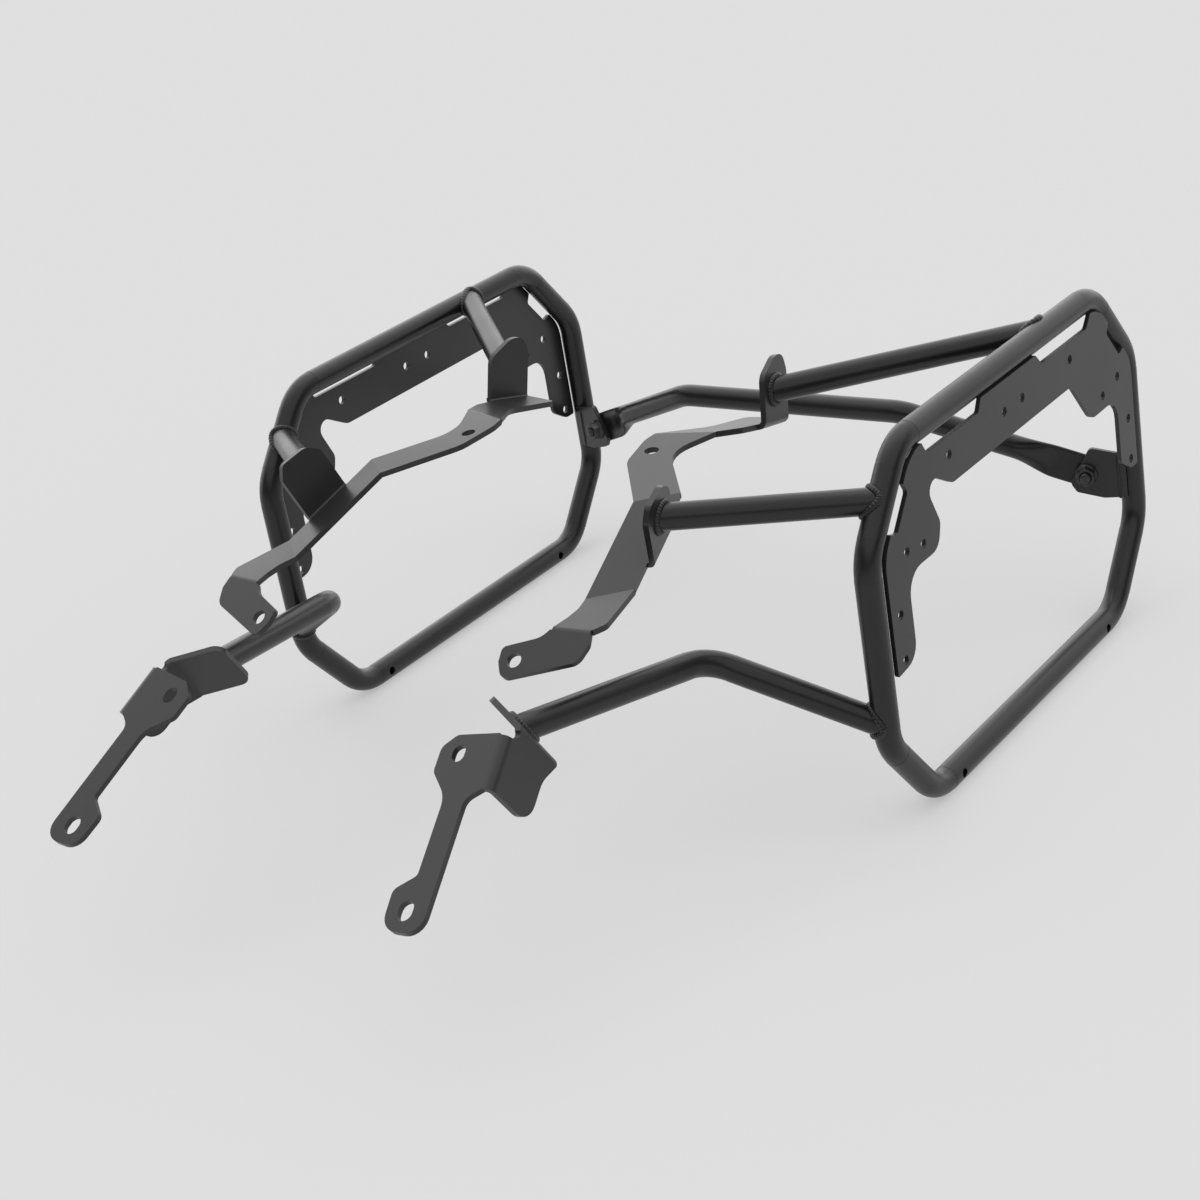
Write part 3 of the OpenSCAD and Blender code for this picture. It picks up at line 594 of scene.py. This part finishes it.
def powder_texture():
    """Shared effect of a powder coat: tone drift, gloss drift and the fine peel of its surface.

    Colour = tone * drift in TONE_DRIFT, roughness = its value + drift in GLOSS_DRIFT, and
    height = peel + SPECK_SHARE * speck, where drift, peel and speck are noise."""
    group = bpy.data.node_groups.new("powder texture", "ShaderNodeTree")
    for name, kind, value in (
        ("Tone", "NodeSocketColor", (0.03, 0.03, 0.032, 1.0)),
        ("Roughness", "NodeSocketFloat", 0.45),
        ("Peel size", "NodeSocketFloat", PEEL_SIZE),
    ):
        socket = group.interface.new_socket(name, in_out="INPUT", socket_type=kind)
        socket.default_value = value
    group.interface.new_socket("Colour", in_out="OUTPUT", socket_type="NodeSocketColor")
    group.interface.new_socket("Roughness", in_out="OUTPUT", socket_type="NodeSocketFloat")
    group.interface.new_socket("Height", in_out="OUTPUT", socket_type="NodeSocketFloat")
    nodes = group.nodes
    enter = nodes.new("NodeGroupInput")
    leave = nodes.new("NodeGroupOutput")
    coords = nodes.new("ShaderNodeTexCoord")
    drift = noise(group, coords, DRIFT_SIZE, detail=4.0).outputs["Fac"]
    peel = noise(group, coords, PEEL_SIZE, detail=2.0)
    link(group, enter.outputs["Peel size"], peel.inputs["Scale"])
    speck = noise(group, coords, SPECK_SIZE, detail=1.0).outputs["Fac"]
    scale = nodes.new("ShaderNodeVectorMath")
    scale.operation = "SCALE"
    link(group, enter.outputs["Tone"], scale.inputs[0])
    link(group, ranged(group, drift, DRIFT, TONE_DRIFT), scale.inputs["Scale"])
    link(group, scale.outputs["Vector"], leave.inputs["Colour"])
    add = nodes.new("ShaderNodeMath")
    link(group, enter.outputs["Roughness"], add.inputs[0])
    link(group, ranged(group, drift, DRIFT, GLOSS_DRIFT), add.inputs[1])
    link(group, add.outputs["Value"], leave.inputs["Roughness"])
    mix = nodes.new("ShaderNodeMath")
    mix.operation = "MULTIPLY_ADD"
    mix.inputs[1].default_value = SPECK_SHARE
    link(group, speck, mix.inputs[0])
    link(group, peel.outputs["Fac"], mix.inputs[2])
    link(group, mix.outputs["Value"], leave.inputs["Height"])
    return group


def coated(name, group, tone, roughness, peel_size, relief, metallic=0.0):
    """Material whose colour, roughness and bump come from the shared texture."""
    material = bpy.data.materials.new(name)
    material.use_nodes = True
    tree = material.node_tree
    shader = tree.nodes["Principled BSDF"]
    shader.inputs["Metallic"].default_value = metallic
    texture = tree.nodes.new("ShaderNodeGroup")
    texture.node_tree = group
    texture.inputs["Tone"].default_value = tone
    texture.inputs["Roughness"].default_value = roughness
    texture.inputs["Peel size"].default_value = peel_size
    bump = tree.nodes.new("ShaderNodeBump")
    bump.inputs["Strength"].default_value = relief
    bump.inputs["Distance"].default_value = PEEL_HEIGHT
    link(tree, texture.outputs["Colour"], shader.inputs["Base Color"])
    link(tree, texture.outputs["Roughness"], shader.inputs["Roughness"])
    link(tree, texture.outputs["Height"], bump.inputs["Height"])
    link(tree, bump.outputs["Normal"], shader.inputs["Normal"])
    return material


def floor_material():
    """Pale to the camera and in reflections, darker to the light that it throws back up.

    Part of the pale tone is a glow, which keeps the shadow faint, and the glow lights nothing."""
    material = bpy.data.materials.new("pale floor")
    material.use_nodes = True
    material.cycles.emission_sampling = "NONE"
    tree = material.node_tree
    shader = tree.nodes["Principled BSDF"]
    shader.inputs["Roughness"].default_value = FLOOR_ROUGH
    shader.inputs["Specular IOR Level"].default_value = 0.0
    rays = tree.nodes.new("ShaderNodeLightPath")
    seen = tree.nodes.new("ShaderNodeMath")
    seen.operation = "MAXIMUM"
    link(tree, rays.outputs["Is Camera Ray"], seen.inputs[0])
    link(tree, rays.outputs["Is Glossy Ray"], seen.inputs[1])
    for socket, unseen, pale in (
        ("Base Color", FLOOR_BOUNCE, FLOOR_SEEN),
        ("Emission Color", BLACK, FLOOR_GLOW),
    ):
        pick = tree.nodes.new("ShaderNodeMix")
        pick.data_type = "RGBA"
        pick.inputs["A"].default_value = unseen
        pick.inputs["B"].default_value = pale
        link(tree, seen.outputs["Value"], pick.inputs["Factor"])
        link(tree, pick.outputs["Result"], shader.inputs[socket])
    shader.inputs["Emission Strength"].default_value = 1.0
    return material


def sun_light(towards, spread, strength):
    """One broad lamp overhead."""
    data = bpy.data.lights.new("overhead", "SUN")
    data.angle = spread
    data.energy = strength
    lamp = bpy.data.objects.new("overhead", data)
    lamp.rotation_euler = Vector(towards).to_track_quat("Z", "Y").to_euler()
    bpy.context.collection.objects.link(lamp)


def studio_world():
    """Light from a bright ceiling that fades to dim walls.

    Reflections show a wall that is pale behind the frame and dim on the camera's side."""
    world = bpy.data.worlds.new("studio")
    bpy.context.scene.world = world
    world.use_nodes = True
    tree = world.node_tree
    coords = tree.nodes.new("ShaderNodeTexCoord")
    split = tree.nodes.new("ShaderNodeSeparateXYZ")
    rays = tree.nodes.new("ShaderNodeLightPath")
    behind = tree.nodes.new("ShaderNodeVectorMath")
    behind.operation = "DOT_PRODUCT"
    behind.inputs[1].default_value = BEHIND
    pick_sheen = tree.nodes.new("ShaderNodeMix")
    pick_seen = tree.nodes.new("ShaderNodeMix")
    pick_seen.data_type = "RGBA"
    pick_seen.inputs["B"].default_value = PALE
    link(tree, coords.outputs["Object"], split.inputs["Vector"])
    link(tree, coords.outputs["Object"], behind.inputs[0])
    link(tree, rays.outputs["Is Glossy Ray"], pick_sheen.inputs["Factor"])
    for socket, source, span, levels in (
        ("A", split.outputs["Z"], CEILING_RISE, (WALL_LIGHT, CEILING_LIGHT)),
        ("B", behind.outputs["Value"], SHEEN_RISE, (FRONT_SHEEN, BACK_SHEEN)),
    ):
        rise = ranged(tree, source, span, levels, "SMOOTHSTEP")
        link(tree, rise, pick_sheen.inputs[socket])
    link(tree, rays.outputs["Is Camera Ray"], pick_seen.inputs["Factor"])
    link(tree, pick_sheen.outputs["Result"], pick_seen.inputs["A"])
    link(tree, pick_seen.outputs["Result"], tree.nodes["Background"].inputs["Color"])


# Materials. Tubes and sheets carry one powder coat in two tones: the darker tone on the tubes,
# beads and brace is painted shade, and the lighter tone on the sheets is painted light
TEXTURE = powder_texture()
# The tube's tone is painted shade: the same coat as the sheets, made darker where round tubes show
# darker under the light
SHADED_POWDER = coated(
    "powder coat darkened as painted shade", TEXTURE, tone=(0.005, 0.005, 0.0052, 1.0),
    roughness=0.32, peel_size=PEEL_SIZE, relief=0.3,
)
# The sheet's tone, over three times the tube's, is painted light on the same coat, where flat faces
# show lighter under the light
LIT_POWDER = coated(
    "powder coat lightened as painted light", TEXTURE, tone=(0.017, 0.017, 0.0174, 1.0),
    roughness=0.34, peel_size=PEEL_SIZE, relief=0.3,
)
ZINC = coated(
    "dark zinc", TEXTURE, tone=(0.055, 0.055, 0.057, 1.0),
    roughness=0.36, peel_size=1500.0, relief=0.2, metallic=0.75,
)

# Sheets and bare tubes
for _, prefix in SIDES:
    for sheet in SHEETS:
        node = prefix + sheet
        reshape = flush_plate if sheet == "adapter_plate" else None
        softened(node, "sheet_" + node, LIT_POWDER, SHEET_EDGE, reshape)
    for tube in BARE_TUBES:
        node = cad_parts[prefix + tube]
        node.data.materials.clear()
        node.data.materials.append(SHADED_POWDER)

# Beads round both ends of the stand-offs and of the lower tube
rear_edge = [on_face(TAIL_FACE, *p) for p in REAR_TAB_EDGE]
rear_at, rear_out = tab_point(TAIL_FACE, rear_edge[0], rear_edge[1], REAR_TAB_AT)
ramp_foot = meet(RAMP_FACE, SHELF_FACE, RAMP_FOOT_X)
ramp_head = meet(SEAT_FACE, RAMP_FACE, RAMP_HEAD_X)
front_from = ramp_foot + (ramp_head - ramp_foot) * FRONT_TAB_SHARE
front_at, front_out = tab_point(RAMP_FACE, front_from, ramp_head, FRONT_TAB_AT)
peg_ex = unit(PEG_OUT)
peg_n = unit(np.cross(peg_ex, PEG_UP))
peg_ey = np.cross(peg_n, peg_ex)
flange_out = peg_ey * math.sin(FLANGE_TURN) + peg_ex * math.cos(FLANGE_TURN)
flange_run = peg_ey * math.cos(FLANGE_TURN) - peg_ex * math.sin(FLANGE_TURN)
lower_at = (
    PEG_POINT + peg_ey * FLANGE_CORNER[0] + peg_ex * FLANGE_CORNER[1]
    + flange_run * FLANGE_MIDDLE[0] + peg_n * FLANGE_MIDDLE[1]
)
for name, path, ripples in (
    ("rear_standoff_loop_weld", seam_on_tube(REAR_STANDOFF_END, rear_at, TOP_AXIS, RING), 34),
    ("front_standoff_loop_weld", seam_on_tube(FRONT_STANDOFF_END, front_at, CUT_AXIS, RING), 33),
    ("lower_tube_loop_weld", seam_on_tube(LOWER_END, LOWER_BEND, FRONT_AXIS, RING), 35),
    ("rear_standoff_tab_weld", seam_on_face(rear_at, REAR_STANDOFF_END, rear_out, RING), 32),
    ("front_standoff_tab_weld", seam_on_face(front_at, FRONT_STANDOFF_END, front_out, RING), 31),
    ("lower_tube_bracket_weld", seam_on_face(lower_at, LOWER_BEND, flange_out, RING), 33),
):
    blunt = rounded_path(path, SEAM_BLUNT) if name.endswith("loop_weld") else path
    rippled_weld(name, blunt, ripples, BEAD_OUT, BEAD_R)

# Cross brace, its nuts and its bolts
brace = brace_points(BRACE_ROUND)
grid_piece("brace", brace, SHADED_POWDER, "cross_brace", close_rows=False)
bolt_at, bolt_axis, bolt_u, bolt_v = bolt_frame()
nut_rows = hexagon_rows(NUT_PROFILE, NUT_H, LATHE_ROUND)
nut = turned(bolt_at + bolt_axis * SHEET_T, bolt_axis, bolt_u, bolt_v, *nut_rows)
bolt_rows = bolt_points(LATHE_ROUND)
bolt = turned(bolt_at - bolt_axis * FLAT_T, bolt_axis, bolt_u, bolt_v, *bolt_rows)
for side, prefix in SIDES:
    for kind, points, close_rows in (("nut", nut, True), ("bolt", bolt, False)):
        piece_name = kind + "_" + prefix + "brace"
        node = prefix + "brace_" + kind
        grid_piece(piece_name, points, ZINC, node, close_rows, side)

# Bead round the end of each brace tab: a circle's cosine and sine, raised to a small power,
# run along a rounded rectangle, which is laid on the tube's surface
turn = np.linspace(0.0, 2.0 * math.pi, RING, endpoint=False)
square = np.stack([np.cos(turn), np.sin(turn)], axis=1)
square = np.sign(square) * np.abs(square) ** TAB_BEAD_CORNER
tab_high = (TAB_HIGH - TAB_LOW) / 2
weld_up = (TAB_HIGH + TAB_LOW) / 2 + tab_high * square[:, 0]
weld_out = SHEET_T / 2 + (SHEET_T / 2 + TAB_BEAD_LAP) * square[:, 1]
tab_reach = float((REAR_TUBE - BRACE_BOLT) @ bolt_u)
gap = TAB_SEAT - weld_out
on_tube = tab_reach - np.sqrt(np.maximum(TUBE_R ** 2 - gap ** 2, 0.0))
along = np.stack([on_tube, weld_out, weld_up], axis=1)
path = bolt_at + along @ np.stack([bolt_u, bolt_axis, bolt_v])
rippled_weld("brace_tab_weld", path, TAB_BEAD_RIPPLES, TAB_BEAD_OUT, TAB_BEAD_R)

# Floor, light and camera
corners = [(x * FLOOR_REACH, y * FLOOR_REACH, 0.0) for x, y in ((-1, -1), (1, -1), (1, 1), (-1, 1))]
floor_mesh = bpy.data.meshes.new("floor")
floor_mesh.from_pydata(corners, [], [(0, 1, 2, 3)])
floor_mesh.materials.append(floor_material())
floor = bpy.data.objects.new("floor", floor_mesh)
bpy.context.collection.objects.link(floor)

sun_light(LAMP_FROM, LAMP_SPREAD, LAMP_STRENGTH)
studio_world()

camera_data = bpy.data.cameras.new("camera")
camera_data.lens = CAMERA_LENS
camera_data.sensor_width = CAMERA_SENSOR
camera = bpy.data.objects.new("camera", camera_data)
turned_to = Matrix((CAMERA_RIGHT, CAMERA_UP, CAMERA_BACK)).transposed().to_4x4()
camera.matrix_world = Matrix.Translation(CAMERA_AT) @ turned_to
bpy.context.collection.objects.link(camera)
scene = bpy.context.scene
scene.camera = camera
scene.view_settings.view_transform = "Standard"
